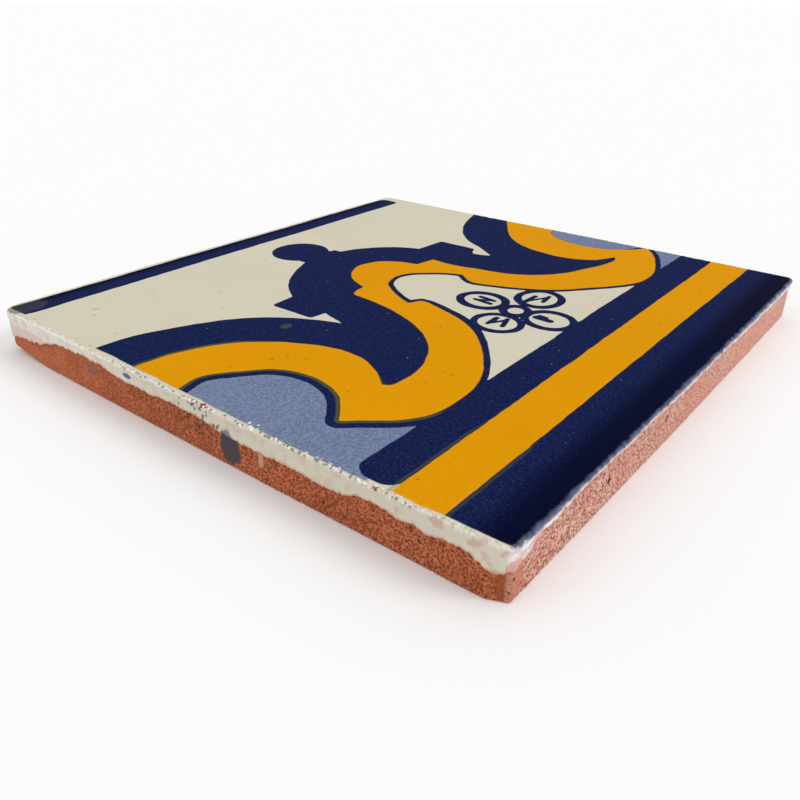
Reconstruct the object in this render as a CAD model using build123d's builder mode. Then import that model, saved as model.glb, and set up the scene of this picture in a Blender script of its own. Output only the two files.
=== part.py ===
from build123d import *

import os
from math import pi, sin

# A square wall tile: one slab of red fired clay, glazed on its face, lying face up.
#
# The clay is pressed and cut by hand. Its sides bow out a little and lean, so that the foot is a
# little larger than the face. Its corners are rounder at the foot, where they wear, and the front
# left one has lost a flake there, which tapers away towards the face.
# The glaze covers the face and rolls over the top edge. It runs down each side to a line that
# wanders, and it stands slightly proud of the bare clay below that line.
# Millimetres, +Z up, origin at the middle of the back.

# Driving dimensions of the clay slab
face_width = 104.8
face_depth = 104.0
foot_extra_width = 1.0
foot_extra_depth = 0.25
tile_thickness = 7.7
side_bow = 0.25
foot_edge_radius = 0.2

# How round each corner of the clay is in plan, at the face and at the foot
front_left_face_radius = 1.2
front_right_face_radius = 3.0
back_right_face_radius = 1.4
back_left_face_radius = 3.2
front_right_foot_radius = 4.2
back_right_foot_radius = 4.0
back_left_foot_radius = 5.6

# How far the lost flake reaches along the foot from the front left corner
flake_along_front = 1.2
flake_along_left = 2.6

# Driving dimensions of the glaze
side_glaze = 0.3
face_edge_radius = 0.7
ripple_height = 0.3

# How far the glaze runs down the middle of each side, below the face
front_run = 1.3
right_run = 1.7
back_run = 2.1
left_run = 3.1

# How far it runs down at each corner
front_left_run = 3.5
front_right_run = 1.9
back_right_run = 2.3
back_left_run = 4.2

# How many ripples the glaze line has along each side
front_ripples = 5
right_ripples = 4
back_ripples = 3
left_ripples = 4
points_per_ripple = 4

foot_width = face_width + foot_extra_width
foot_depth = face_depth + foot_extra_depth
half_width = max(face_width, foot_width) / 2
half_depth = max(face_depth, foot_depth) / 2
face_radii = (
    front_left_face_radius, front_right_face_radius, back_right_face_radius, back_left_face_radius,
)
foot_radii = (None, front_right_foot_radius, back_right_foot_radius, back_left_foot_radius)
corner_reach = max(face_radii + foot_radii[1:] + (flake_along_front, flake_along_left))
past_side = side_bow + 2 * side_glaze


def slab_outline(width, depth, radii, coat):
    """The clay's outline in plan, or the glaze's, which is larger by its coat all round.

    The sides are bowed, and the corners have these radii, from the front left one round. A corner
    without a radius has the flake cut off it.
    """
    right = width / 2 + coat
    back = depth / 2 + coat
    corners = ((-right, -back), (right, -back), (right, back), (-right, back))
    front_left, front_right, back_right, back_left = corners
    with BuildSketch() as outline:
        with BuildLine():
            ThreePointArc(front_left, (0, -back - side_bow), front_right)
            ThreePointArc(front_right, (right + side_bow, 0), back_right)
            ThreePointArc(back_right, (0, back + side_bow), back_left)
            ThreePointArc(back_left, (-right - side_bow, 0), front_left)
        make_face()
        for corner, radius in zip(corners, radii):
            vertex = outline.vertices().sort_by_distance(corner)[0]
            if radius:
                fillet(vertex, radius + coat)
            else:
                front_edge = outline.edges().sort_by(Axis.Y)[0]
                chamfer(vertex, flake_along_front, flake_along_left, reference=front_edge)
    return outline.sketch


def glaze_line(half_length, start_run, middle_run, end_run, ripples):
    """Points along one side, in that side's own plane, where the glaze stops.

    The run goes evenly from one corner's to the other's, swells to the middle's as half a sine wave,
    and ripples as a sine wave whose height follows the same swell.
    """
    inner_half = half_length - corner_reach
    count = ripples * points_per_ripple
    points = []
    for step in range(count + 1):
        share = step / count
        between_corners = start_run + (end_run - start_run) * share
        swell = sin(pi * share)
        ripple = ripple_height * sin(2 * pi * ripples * share)
        run = between_corners + (middle_run - between_corners + ripple) * swell
        points.append((-inner_half + 2 * inner_half * share, tile_thickness - run))
    return points


# The clay, and the larger block that it would be if it were glazed all the way down
with BuildPart() as clay:
    with BuildSketch():
        add(slab_outline(foot_width, foot_depth, foot_radii, 0))
    with BuildSketch(Plane.XY.offset(tile_thickness)):
        add(slab_outline(face_width, face_depth, face_radii, 0))
    loft(ruled=True)
with BuildPart() as glazed_block:
    with BuildSketch():
        add(slab_outline(foot_width, foot_depth, foot_radii, side_glaze))
    with BuildSketch(Plane.XY.offset(tile_thickness)):
        add(slab_outline(face_width, face_depth, face_radii, side_glaze))
    loft(ruled=True)
    fillet(glazed_block.faces().sort_by(Axis.Z)[-1].edges(), face_edge_radius)

# The band around the clay that the glaze leaves bare
sides = [
    (Plane((0, -half_depth - past_side, 0), x_dir=(1, 0, 0), z_dir=(0, -1, 0)), half_width,
     front_left_run, front_run, front_right_run, front_ripples),
    (Plane((half_width + past_side, 0, 0), x_dir=(0, 1, 0), z_dir=(1, 0, 0)), half_depth,
     front_right_run, right_run, back_right_run, right_ripples),
    (Plane((0, half_depth + past_side, 0), x_dir=(-1, 0, 0), z_dir=(0, 1, 0)), half_width,
     back_right_run, back_run, back_left_run, back_ripples),
    (Plane((-half_width - past_side, 0, 0), x_dir=(0, -1, 0), z_dir=(-1, 0, 0)), half_depth,
     back_left_run, left_run, front_left_run, left_ripples),
]
with BuildPart() as bare_band:
    for side_plane, half_length, start_run, middle_run, end_run, ripples in sides:
        line = glaze_line(half_length, start_run, middle_run, end_run, ripples)
        end = half_length + past_side
        with BuildSketch(side_plane):
            with BuildLine():
                right_end = (end, line[-1][1])
                left_end = (-end, line[0][1])
                Line(left_end, line[0])
                Spline(*line, tangents=((1, 0), (1, 0)))
                Polyline(line[-1], right_end, (end, -past_side), (-end, -past_side), left_end)
            make_face()
        extrude(amount=-(corner_reach + past_side))
    add(clay.part, mode=Mode.SUBTRACT)

# The tile: the glazed block, less the band of bare clay around its sides
with BuildPart() as tile:
    add(glazed_block.part)
    add(bare_band.part, mode=Mode.SUBTRACT)
    fillet(tile.faces().sort_by(Axis.Z)[0].edges(), foot_edge_radius)
tile.part.label = "tile"

os.makedirs("parts", exist_ok=True)
export_step(tile.part, "parts/tile.step")
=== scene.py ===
# %% [markdown]
# # A hand-painted wall tile
#
# The real tile is a slab of red clay. Its face was covered in cream glaze, the border pattern was
# painted on top in coloured glazes, and one firing melted them all onto the clay. Two things show
# from outside: a coat of glaze, which rolls over the top edge and ends in a wandering line part way
# down each side, and the bare, sandy clay below that line.
#
# So there are two surfaces here, the coat and the clay. Each is worked out with numpy as rows of
# points that go round the tile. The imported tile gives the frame, and says how large they may be.

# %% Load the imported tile
import math
from itertools import product

import bpy
import numpy as np
from mathutils import Matrix, Vector


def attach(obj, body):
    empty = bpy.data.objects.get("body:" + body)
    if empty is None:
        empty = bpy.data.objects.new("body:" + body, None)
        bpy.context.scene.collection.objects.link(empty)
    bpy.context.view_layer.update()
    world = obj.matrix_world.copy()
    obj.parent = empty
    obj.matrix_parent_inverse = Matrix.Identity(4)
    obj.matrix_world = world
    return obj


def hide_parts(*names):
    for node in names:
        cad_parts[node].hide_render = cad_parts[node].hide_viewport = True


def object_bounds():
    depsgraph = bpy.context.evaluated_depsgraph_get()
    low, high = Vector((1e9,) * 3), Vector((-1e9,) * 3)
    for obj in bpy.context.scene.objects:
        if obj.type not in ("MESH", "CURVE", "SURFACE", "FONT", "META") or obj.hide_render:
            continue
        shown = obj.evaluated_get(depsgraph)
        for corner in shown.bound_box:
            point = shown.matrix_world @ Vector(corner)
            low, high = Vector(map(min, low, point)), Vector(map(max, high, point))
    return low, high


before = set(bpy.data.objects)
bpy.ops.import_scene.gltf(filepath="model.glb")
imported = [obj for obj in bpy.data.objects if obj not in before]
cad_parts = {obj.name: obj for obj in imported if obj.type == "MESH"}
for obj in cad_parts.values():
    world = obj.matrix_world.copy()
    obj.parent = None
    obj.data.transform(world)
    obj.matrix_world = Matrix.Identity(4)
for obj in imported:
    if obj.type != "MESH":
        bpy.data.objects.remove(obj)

cad_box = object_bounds()
print("packed tile:", [[round(1000 * c, 2) for c in corner] for corner in cad_box], "mm")

# %% [markdown]
# ## Sizes
#
# All the sums below are in millimetres, because that is how a tile is measured, and the last step
# of each mesh divides by 1000, because Blender works in metres. +Z points up out of the face, and
# the painted stripes run along X, near the front.

# %% Sizes of the slab and of the coat
MM = 0.001
top = cad_box[1].z / MM
face_size = np.array([104.8, 104.0])
foot_size = face_size + [1.0, 0.25]
side_bow = 0.25
face_reach = np.array([(1.2, 1.2), (1.4, 1.4), (1.4, 1.4), (2.3, 2.3)])
foot_reach = np.array([(2.6, 1.2), (1.8, 1.8), (4.0, 4.0), (2.8, 2.8)])
foot_edge = 0.2
coat_thickness = 0.3
lip_thickness = 0.14
arris_radius = 0.45
seed = 20
print("the slab is", face_size, "mm and", round(top, 2), "mm thick")

# %% [markdown]
# ## Smooth noise
#
# Clay and glaze are uneven at many scales. A noise in numpy gives real relief, which shows on the
# outline and in the mesh itself, where a bump in the material would not. It is made from random
# numbers on a lattice of cubes, so it has no seam at the corners of the tile.

# %% Noise from a lattice of random numbers
def noise(places, cell, kind=0):
    """Smooth noise between -1 and 1 at each place.

    Each corner of a lattice of cubes has a random number. Inside a cube the eight numbers are mixed
    by how near their corners are, eased by 3f² - 2f³ so that the slopes meet.
    """
    numbers = np.random.default_rng(seed + kind).uniform(-1, 1, 8192)
    lattice = np.asarray(places, float) / cell
    corner = np.floor(lattice).astype(np.int64)
    share = lattice - corner
    share = share * share * (3 - 2 * share)
    total = np.zeros(lattice.shape[:-1])
    for step in product((0, 1), repeat=3):
        x, y, z = np.moveaxis(corner + step, -1, 0)
        key = (x * 73856093) ^ (y * 19349663) ^ (z * 83492791)
        weight = np.where(step, share, 1 - share).prod(-1)
        total += numbers[key % len(numbers)] * weight
    return total


print("noise at three places:", noise([[0, 0, 0], [1.5, 0, 0], [3, 1, 2]], 2.0).round(2))

# %% [markdown]
# ## The outline of the tile
#
# Seen from above, the tile is a square whose sides bow out by a quarter of a millimetre. A corner is
# rounded off as far as it reaches along the side before it and the side after it. The foot has lost
# a flake at the front left corner, where the two reaches differ and the cut between them is straight.
#
# One set of columns goes round the tile. Every column keeps its place from the foot to the face, so
# the two outlines can be mixed by height, as the real side leans from one to the other.

# %% Points and outward directions once round the outline
def outline(size, reach, side_columns, corner_columns):
    """Points and outward directions once round, starting on the left at the front left corner.

    Between its two ends, a corner with equal reaches is a quarter circle, whose way out turns evenly,
    and any other corner is a straight cut. A side is straight from one corner's end to the next one's
    start. Then each point moves out by the bow, times one less the square of its distance from the
    side's middle as a share of half the side.
    """
    half = size / 2
    corners = np.array([(-1, -1), (1, -1), (1, 1), (-1, 1)]) * half
    along = np.array([(1, 0), (0, 1), (-1, 0), (0, -1)])
    before = np.roll(along, 1, axis=0)
    starts = corners - reach[:, :1] * before
    ends = corners + reach[:, 1:] * along
    share = np.linspace(0, 1, corner_columns, endpoint=False)[:, None]
    turn = share * math.pi / 2
    places, outward = [], []
    for corner in range(4):
        directions = np.sin(turn) * before[corner] - np.cos(turn) * along[corner]
        if reach[corner, 0] == reach[corner, 1]:
            centre = starts[corner] + reach[corner, 0] * along[corner]
            places.append(centre + reach[corner, 0] * directions)
        else:
            places.append(starts[corner] + share * (ends[corner] - starts[corner]))
        outward.append(directions)
        side_share = np.linspace(0, 1, side_columns[corner], endpoint=False)[:, None]
        places.append(ends[corner] + side_share * (starts[(corner + 1) % 4] - ends[corner]))
        outward.append(np.repeat(before[corner][None].astype(float), side_columns[corner], axis=0))
    places = np.concatenate(places)
    share = places / half
    places = places + side_bow * share * (1 - share[:, ::-1] ** 2)
    return places, np.concatenate(outward)


def around(face_places, foot_places, outward, offset, height):
    """Points of the slab's side: foot and face mixed by height, moved out by the offset."""
    share = np.clip(height / top, 0, 1)[..., None]
    flat = foot_places + share * (face_places - foot_places) + offset[..., None] * outward
    return np.concatenate([flat, height[..., None]], axis=-1)


print("a coarse outline has", len(outline(face_size, face_reach, (1, 1, 1, 1), 2)[0]), "points")

# %% [markdown]
# ## Joining rows of points into faces
#
# A grid of points is joined by four-cornered faces. Where a fine ring has to meet a coarser grid,
# as round the face, a strip of triangles zips the two together, so that no seam stays open.

# %% Faces of a grid, of a strip and of a cap
def grid_faces(first, rows, columns, closed=False):
    """Four-cornered faces between neighbouring rows and columns, the last column joined to the first."""
    index = first + np.arange(rows * columns).reshape(rows, columns)
    if closed:
        index = np.hstack([index, index[:, :1]])
    return np.stack([index[:-1, :-1], index[:-1, 1:], index[1:, 1:], index[1:, :-1]], -1).reshape(-1, 4)


def strip_faces(points, inner, outer):
    """Triangles between two closed rows of points, where outer goes round inner.

    Both rows are put in the order of their angle about the middle. The points of both are then taken
    together in that order, and each makes one triangle with its next point and the other row's latest.
    """
    rows, ends = [], []
    for row in (inner, outer):
        angle = np.arctan2(points[row, 1], points[row, 0])
        row = np.roll(row, -int(np.argmin(angle)))
        angle = np.arctan2(points[row, 1], points[row, 0])
        rows.append(row)
        ends.append(np.append(angle[1:], angle[0] + 2 * math.pi))
    is_inner = np.repeat([True, False], [len(inner), len(outer)])
    is_inner = is_inner[np.argsort(np.concatenate(ends), kind="stable")]
    at_inner = np.cumsum(is_inner) - is_inner
    at_outer = np.cumsum(~is_inner) - ~is_inner
    inside = rows[0][at_inner % len(inner)]
    outside = rows[1][at_outer % len(outer)]
    next_inside = rows[0][(at_inner + 1) % len(inner)]
    next_outside = rows[1][(at_outer + 1) % len(outer)]
    return np.stack([inside, outside, np.where(is_inner, next_inside, next_outside)], axis=1)


def border_of(first, rows, columns):
    """The points on the border of a grid, anticlockwise."""
    index = first + np.arange(rows * columns).reshape(rows, columns)
    return np.concatenate([index[0, :-1], index[:-1, -1], index[-1, :0:-1], index[:0:-1, 0]])


def cap_faces(row, middle):
    """Triangles from a closed row of points to one point in its middle."""
    return np.stack([row, np.roll(row, -1), np.full(len(row), middle)], axis=1)


print("a grid of 3 by 4 points has", len(grid_faces(0, 3, 4)), "faces")


# %% Even spacing, and a new piece
def stretches(stops, gaps):
    """Places from the first stop to the last, evenly spaced in each stretch at about its gap."""
    parts = [
        np.linspace(start, end, math.ceil((end - start) / gap), endpoint=False)
        for start, end, gap in zip(stops, stops[1:], gaps)
    ]
    return np.concatenate(parts + [[stops[-1]]])


def new_piece(name, points, faces, attributes):
    """A smooth mesh object from points in millimetres, faces, and named numbers kept at its points."""
    mesh = bpy.data.meshes.new(name)
    mesh.from_pydata((points * MM).tolist(), [], [face for part in faces for face in part.tolist()])
    for title, values in attributes.items():
        mesh.attributes.new(title, "FLOAT", "POINT").data.foreach_set("value", values.astype(np.float32))
    mesh.shade_smooth()
    piece = bpy.data.objects.new(name, mesh)
    bpy.context.scene.collection.objects.link(piece)
    print(name, len(mesh.vertices), "points", sum(len(p.vertices) - 2 for p in mesh.polygons), "triangles")
    return piece


print("three stretches:", stretches([0, 1, 3, 4], [0.5, 1, 0.5]))

# %% [markdown]
# ## Where the glaze stops
#
# The wet glaze ran down the sides before the firing, further at some places than at others. On the
# left side, which shows best, its depth below the face is set at a few measured places. The others
# have fewer. Each pair is the distance from the corner where the side starts, and the depth. Noise
# in three layers, each with its own height and size of lump, then makes the line ragged, as a melted
# edge is. Where the glaze is shallow, the noise is weaker, so that it never breaks through the edge.

# %% The glaze line
front_depths = [(0, 3.7), (0.8, 3.3), (1.8, 3.3), (3.3, 2.8), (4.8, 2.1), (6, 1.5), (8, 1.5), (10.4, 1.6),
                (11, 1.1), (13, 1.1), (15, 0.8), (18, 1.1), (22, 0.9), (28, 1.2), (36, 1.0), (48, 1.3),
                (62, 1.1), (80, 1.6), (98, 1.8)]
right_depths = [(0, 1.9), (20, 1.5), (45, 1.9), (70, 1.5), (95, 2.1)]
back_depths = [(0, 2.3), (25, 1.8), (50, 2.4), (75, 1.9), (96, 2.8)]
left_depths = [(0, 4.8), (4, 4.2), (8, 4.1), (12, 3.4), (17, 2.1), (24, 1.8), (30, 1.6), (33, 2.3),
               (44, 2.5), (47.5, 1.9), (51, 2.4), (58, 2.7), (64, 3.2), (71, 3.0), (78, 3.4), (82, 3.1),
               (84, 2.4), (87, 2.5), (90, 2.9), (92, 2.5), (94, 3.0), (97, 2.4), (100, 3.0),
               (102.5, 3.8), (103.6, 3.9)]
side_depths = (front_depths, right_depths, back_depths, left_depths)
ragged_layers = [(0.16, 2.2, 1), (0.22, 0.9, 2), (0.16, 0.45, 3)]
least_depth, fully_ragged_depth = 0.5, 1.6
print("measured places on each side:", [len(side) for side in side_depths])


def glaze_depth(places):
    """How far below the face the glaze ends, at each place round the outline.

    The way round the square finds the place in the measured depths, which are joined by straight
    lines and averaged over a millimetre. The noise is then added.
    """
    half_x, half_y = face_size / 2
    x, y = places.T
    across, deep = x / half_x, y / half_y
    starts = np.cumsum([0, 2 * half_x, 2 * half_y, 2 * half_x])
    at_side = [-deep >= abs(across), across >= abs(deep), deep >= abs(across)]
    ways = [starts[0] + half_x + x, starts[1] + half_y + y, starts[2] + half_x - x]
    way = np.select(at_side, ways, starts[3] + half_y - y)
    known = np.array([(start + at, depth) for start, side in zip(starts, side_depths) for at, depth in side])
    level = sum(np.interp(way + step, *known.T, period=2 * face_size.sum()) for step in (-0.5, 0, 0.5)) / 3
    flat = np.column_stack([places, np.zeros(len(places))])
    ragged = sum(height * noise(flat, cell, kind) for height, cell, kind in ragged_layers)
    return np.maximum(level + ragged * np.minimum(1, level / fully_ragged_depth), least_depth)


# %% [markdown]
# ## The coat of glaze
#
# The face is a flat grid, closer round the small flower, where the painted strokes are thinnest.
# Rings of points go on from it: over the rounded top edge, down the side to the glaze line, and
# round the lip where the glaze ends. Inside the clay the coat is closed by a plain cap. Molten glaze
# is never quite level, so the face dips a few hundredths of a millimetre, which bends the light on
# it, and small beads stand along the top edge, where it crawled back and boiled.

# %% Rows of the coat's rings
grid_inset = 2.2
ring_inset = 1.0
coat_sides = (330, 120, 130, 460)
coat_corner = 14
lip_radius = 0.12
side_hollow = 0.06
cap_depth = 1.2
face_drop, swell_height, peel_height = 0.05, 0.035, 0.01
bead_height, small_bead_height, beads_off_the_edge = 0.11, 0.06, 0.15


def face_height(x, y):
    """Height of the face: the top, less a slow swell and a finer orange peel."""
    flat = np.stack([x, y, np.zeros_like(x)], axis=-1)
    return top - face_drop - swell_height * noise(flat, 16.0, 4) - peel_height * noise(flat, 3.0, 5)


def coat_section(depth):
    """Offset, height and lean of each ring, for every column at once.

    From the flat margin the section goes round the top edge as a quarter circle, down the side, where
    it thins and is a little hollow, round the lip as a smaller quarter circle, and back up inside.
    Lean is the angle of the surface's own direction above the level.
    """
    round_top = np.minimum(arris_radius, 0.6 * depth)
    lip = np.minimum(lip_radius, 0.3 * depth)
    rows = []
    for share in (0, 0.4, 0.75):
        rows.append((-ring_inset + share * (coat_thickness - round_top + ring_inset), top + 0 * depth, 90))
    for angle in np.linspace(90, 0, 9):
        turn = math.radians(angle)
        offset = coat_thickness - round_top * (1 - math.cos(turn))
        rows.append((offset, top - round_top * (1 - math.sin(turn)), angle))
    side = depth - round_top - lip
    for share in np.linspace(0, 1, 10)[1:]:
        hollow = side_hollow * math.sin(math.pi * share) + (coat_thickness - lip_thickness) * share
        rows.append((coat_thickness - hollow + 0 * depth, top - round_top - share * side, 0))
    for angle in (-30, -60, -90):
        turn = math.radians(angle)
        offset = lip_thickness - lip * (1 - math.cos(turn))
        rows.append((offset, top - depth + lip * (1 + math.sin(turn)), angle))
    rows.append((-0.3 + 0 * depth, top - depth + 0.1, None))
    rows.append((-0.9 + 0 * depth, top - cap_depth + 0 * depth, None))
    return rows


print("the coat has", len(coat_section(np.array([2.0]))), "rings")

# %% Build the coat
face_places, outward = outline(face_size, face_reach, coat_sides, coat_corner)
foot_places, _ = outline(foot_size, foot_reach, coat_sides, coat_corner)
depth = glaze_depth(face_places)
rings, above_lip = [], []
for offset, height, lean in coat_section(depth):
    ring = around(face_places, foot_places, outward, offset, height)
    above_lip.append(height - top + depth)
    if lean is not None:
        dip = face_height(ring[:, 0], ring[:, 1]) - top
        beads = np.abs(noise(ring, 0.6, 6)) * bead_height + np.abs(noise(ring, 0.32, 7)) * small_bead_height
        crown = math.cos(math.radians(min(90, abs(lean - 45))))
        crown = beads_off_the_edge + (1 - beads_off_the_edge) * crown
        inwards = -dip * max(0, math.sin(math.radians(lean))) + beads * crown * (lean < 90)
        turn = math.radians(lean)
        ring[:, :2] -= (inwards * math.cos(turn))[:, None] * outward
        ring[:, 2] -= inwards * math.sin(turn)
    rings.append(ring)
ring_count, ring_columns = len(rings), len(face_places)

grid_x, grid_y = face_size / 2 - grid_inset
columns_x = stretches([-grid_x, -9, 17, grid_x], [0.45, 0.3, 0.45])
rows_y = stretches([-grid_y, -43.8, -30, -6, 30, 45, grid_y], [0.5, 0.7, 0.3, 0.45, 0.8, 0.5])
x, y = np.meshgrid(columns_x, rows_y)
face = np.stack([x, y, face_height(x, y)], axis=-1).reshape(-1, 3)
coat_points = np.concatenate([face, *rings, [[0, 0, top - cap_depth]]])
first_ring = len(face)
last_ring = first_ring + (ring_count - 1) * ring_columns
coat_faces = [
    grid_faces(0, len(rows_y), len(columns_x)),
    strip_faces(coat_points, border_of(0, len(rows_y), len(columns_x)), first_ring + np.arange(ring_columns)),
    grid_faces(first_ring, ring_count, ring_columns, closed=True)[:, ::-1],
    cap_faces(last_ring + np.arange(ring_columns), len(coat_points) - 1)[:, ::-1],
]
print("glaze depth from", depth.min().round(2), "to", depth.max().round(2), "mm")

# %% [markdown]
# ## The painted pattern
#
# The border is a traditional one: two stripes with a yellow one between, a wide yellow scroll that
# rises to an arch, navy behind it, a pale blue field in the scroll's curl, and a small flower under
# the arch. The painter's outlines are smooth curves that meet at sharp corners, so each outline is
# a list of runs. A curve goes smoothly through the few points of its run.
#
# The mesh then keeps, at every point, how far that point is from each colour's edge, negative
# inside. The material only has to ask whether the number is below zero. An edge drawn that way
# stays sharp between the points of the mesh, where a painted colour for each point would blur.

# %% Smooth runs and distances
def smooth_run(points, steps=7):
    """Points on a smooth curve through the given ones.

    Each stretch is the cubic that leaves and arrives with the curve's own slope, taken from the
    points on both sides and their distances. Two points alone give a straight line.
    """
    points = np.array(points, float)
    if len(points) == 2:
        return points
    length = np.linalg.norm(np.diff(points, axis=0), axis=1)
    slope = np.gradient(points, np.concatenate([[0], np.cumsum(length)]), axis=0)
    t = np.linspace(0, 1, steps, endpoint=False)[None, :, None]
    length = length[:, None, None]
    start, end = points[:-1, None], points[1:, None]
    leave, arrive = slope[:-1, None] * length, slope[1:, None] * length
    curve = start * (2 * t**3 - 3 * t**2 + 1) + leave * (t**3 - 2 * t**2 + t)
    curve = curve + end * (3 * t**2 - 2 * t**3) + arrive * (t**3 - t**2)
    return np.vstack([curve.reshape(-1, 2), points[-1:]])


def shape(*runs):
    """A closed outline made of runs, without the points that two runs share."""
    points = np.vstack([smooth_run(run) for run in runs])
    apart = np.linalg.norm(points - np.roll(points, -1, axis=0), axis=1)
    return points[apart > 1e-6]


def from_shape(places, corners):
    """Distance from a closed outline, negative inside it.

    The distance is the least one to its straight pieces. A place is inside when a line from it
    towards +X crosses the outline an odd number of times.
    """
    step = np.roll(corners, -1, axis=0) - corners
    result = np.empty(len(places))
    for block in np.array_split(np.arange(len(places)), max(1, len(places) // 2000)):
        away = places[block, None] - corners
        share = np.clip((away * step).sum(2) / (step**2).sum(1), 0, 1)
        nearest = np.linalg.norm(away - share[..., None] * step, axis=2).min(1)
        crossed = (away[..., 1] < 0) != (away[..., 1] - step[:, 1] < 0)
        rise = np.where(step[:, 1] == 0, 1, step[:, 1])
        crossed &= away[..., 0] < away[..., 1] * step[:, 0] / rise
        result[block] = np.where(crossed.sum(1) % 2 == 1, -nearest, nearest)
    return result


def from_box(places, low, high, corner=0.0):
    """Distance from a box with rounded corners, negative inside it."""
    middle, half = (np.array(high) + low) / 2, (np.array(high) - low) / 2
    past = np.abs(places - middle) - half + corner
    return np.linalg.norm(np.maximum(past, 0), axis=1) + np.minimum(past.max(1), 0) - corner


def from_oval(places, centre, half):
    """About the distance from an oval's edge: how far out its own scale says, over that scale's slope."""
    scaled = (places - centre) / half
    size = np.maximum(np.linalg.norm(scaled, axis=1), 1e-6)
    slope = np.linalg.norm(scaled / half, axis=1) / size
    return (size - 1) / np.maximum(slope, 1e-6)


def from_line(places, start, end, width):
    """Distance from a straight stroke with round ends, negative inside it."""
    step = np.array(end, float) - start
    share = np.clip(((places - start) @ step) / (step @ step), 0, 1)
    return np.linalg.norm(places - start - share[:, None] * step, axis=1) - width / 2


# %% [markdown]
# The yellow scroll is one closed band. It comes in at the left edge, curls down round the pale blue
# field, swings up into the arch, and does the same on the right, drawn a little differently by hand.

# %% The scroll, the navy behind it and the pale blue fields
beyond = 56
scroll = shape(
    [(-beyond, 13.5), (-50, 13.9), (-45, 13.2), (-40.1, 11.2), (-35.9, 8.2), (-32.6, 4.6), (-30, 0.1),
     (-28.2, -5.4), (-28.3, -10.1), (-30.7, -15.2), (-33.2, -18.4)],
    [(-33.2, -18.4), (-32.6, -19.3), (-30, -19.75), (-25, -19.05), (-20, -16.6), (-15.1, -11.7),
     (-11.6, -4.7), (-9.5, 3), (-8.9, 9)],
    [(-8.9, 9), (-7.7, 9.9), (-4.9, 10.3)],
    [(-4.9, 10.3), (-3.3, 13.9), (0, 17.7), (4.9, 19.35), (8.6, 18), (11.3, 14.4), (12.3, 10.7)],
    [(12.3, 10.7), (16.8, 10)],
    [(16.8, 10), (16.4, 5), (17.4, 0), (19.3, -8), (24.2, -14), (31, -17.4), (37, -19.3),
     (40.2, -19.7), (42.5, -18.8)],
    [(42.5, -18.8), (38, -16.5), (35.5, -12), (35.4, -5), (37.5, 1.5), (42, 7), (48, 11.3), (beyond, 16.6)],
    [(beyond, 16.6), (beyond, 2.2)],
    [(beyond, 2.2), (52, 1.5), (49, 0), (46, -5), (45.3, -9), (46.5, -15), (48.5, -18), (52.4, -21.6)],
    [(52.4, -21.9), (48, -25), (42, -27.8), (36, -29.5), (31, -29.3), (26, -26.6), (21.5, -23),
     (16.5, -18.5), (13.2, -13), (10.9, -7), (10.3, -4), (11, -2.5)],
    [(11, -2.5), (12.6, -0.3)],
    [(12.6, -0.3), (12.3, 0.8), (9.5, 5.5), (7, 8.1), (4.3, 9.2), (0, 8.1), (-3.5, 3.6), (-5.3, 0.2),
     (-5.85, -1.4)],
    [(-5.85, -1.4), (-3.6, -2.6)],
    [(-3.5, -4), (-4.8, -8.7), (-6.7, -13.8), (-9.5, -18.3), (-13.7, -22.3), (-18.3, -25.8),
     (-24.2, -28.7), (-30, -29.55), (-34, -29.3), (-38, -27.7), (-41.7, -23.9), (-44.4, -20.7)],
    [(-44.4, -20.5), (-43.3, -19.6), (-39.5, -15.9), (-37.5, -9.4), (-39.1, -3.1), (-43.3, 0.9),
     (-48, 3.8), (-51.5, 3.2), (-beyond, 1.4)],
    [(-beyond, 1.4), (-beyond, 13.5)],
)
under_scroll = [(beyond, 9), (46, 5), (40, -5), (40.5, -14), (46, -20), (38, -24), (27, -21), (19, -13),
                (14, -5), (13.5, 6), (9, 12), (4, 14), (0, 12.5), (-4, 7.5), (-7, 3), (-8, -5), (-11, -13.5),
                (-17.5, -20), (-25, -24), (-34, -24), (-38, -20), (-34.5, -14), (-32.5, -6), (-36, 1),
                (-42, 6.5), (-48, 8.8), (-beyond, 9)]
backing = shape(
    [(-beyond, 24.2), (-50.3, 24.4), (-45, 23.8), (-40.1, 22), (-35, 19.7), (-30, 16.6), (-26.1, 12.7),
     (-23.5, 8.8), (-20.7, 2.5), (-20.35, 1.4)],
    [(-20.35, 1.4), (-18.8, 6.7)],
    [(-18.8, 6.7), (-21.6, 7)],
    [(-22, 7.6), (-22, 16.2)],
    [(-21.5, 16.7), (-16.8, 16.9)],
    [(-16.8, 16.9), (-14.5, 20.4), (-11, 23.9), (-6.3, 27), (-1.4, 29.3)],
    [(-1.4, 30.5), (8.6, 30.5)],
    [(8.6, 28.8), (12, 27.2), (15, 25.2), (18, 22.2), (20, 19), (20.8, 16.9)],
    [(20.8, 16.9), (28.3, 16.3)],
    [(28.3, 16.3), (28.3, 7.5)],
    [(28.3, 7.5), (25.6, 6), (26.4, 2)],
    [(26.4, 2), (29.5, 6.5), (33, 12.5), (38, 17.3), (44, 20.8), (50, 23), (beyond, 25.6)],
    under_scroll,
)
left_field = shape([(-beyond, 8), (-48, 6.4), (-41, 2.6), (-36.6, -6), (-37.5, -14), (-41, -20.5), (-37, -26),
                    (-33, -32), (-beyond, -32)])
right_field = shape([(beyond, 6), (50, 3.5), (44, -4), (43.4, -10), (45, -17), (48.5, -21.8), (42, -25.5),
                     (36, -28), (36, -33), (beyond, -33)])
print("the scroll has", len(scroll), "corners and the navy behind it", len(backing))

# %% [markdown]
# Stripes and the flower are simpler: rounded boxes, ovals, and the short brush strokes that fill the
# petals, each from one point to another and with its own width. A colour made of several
# shapes takes the least of their distances. The yellow has a navy outline, which is wider on the left
# and along the stem of the arch, and goes in the far curl. Where yellow glaze ran into navy, the two
# mixed to a dark olive, and the number called fringe says where that seam is wide.

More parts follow.
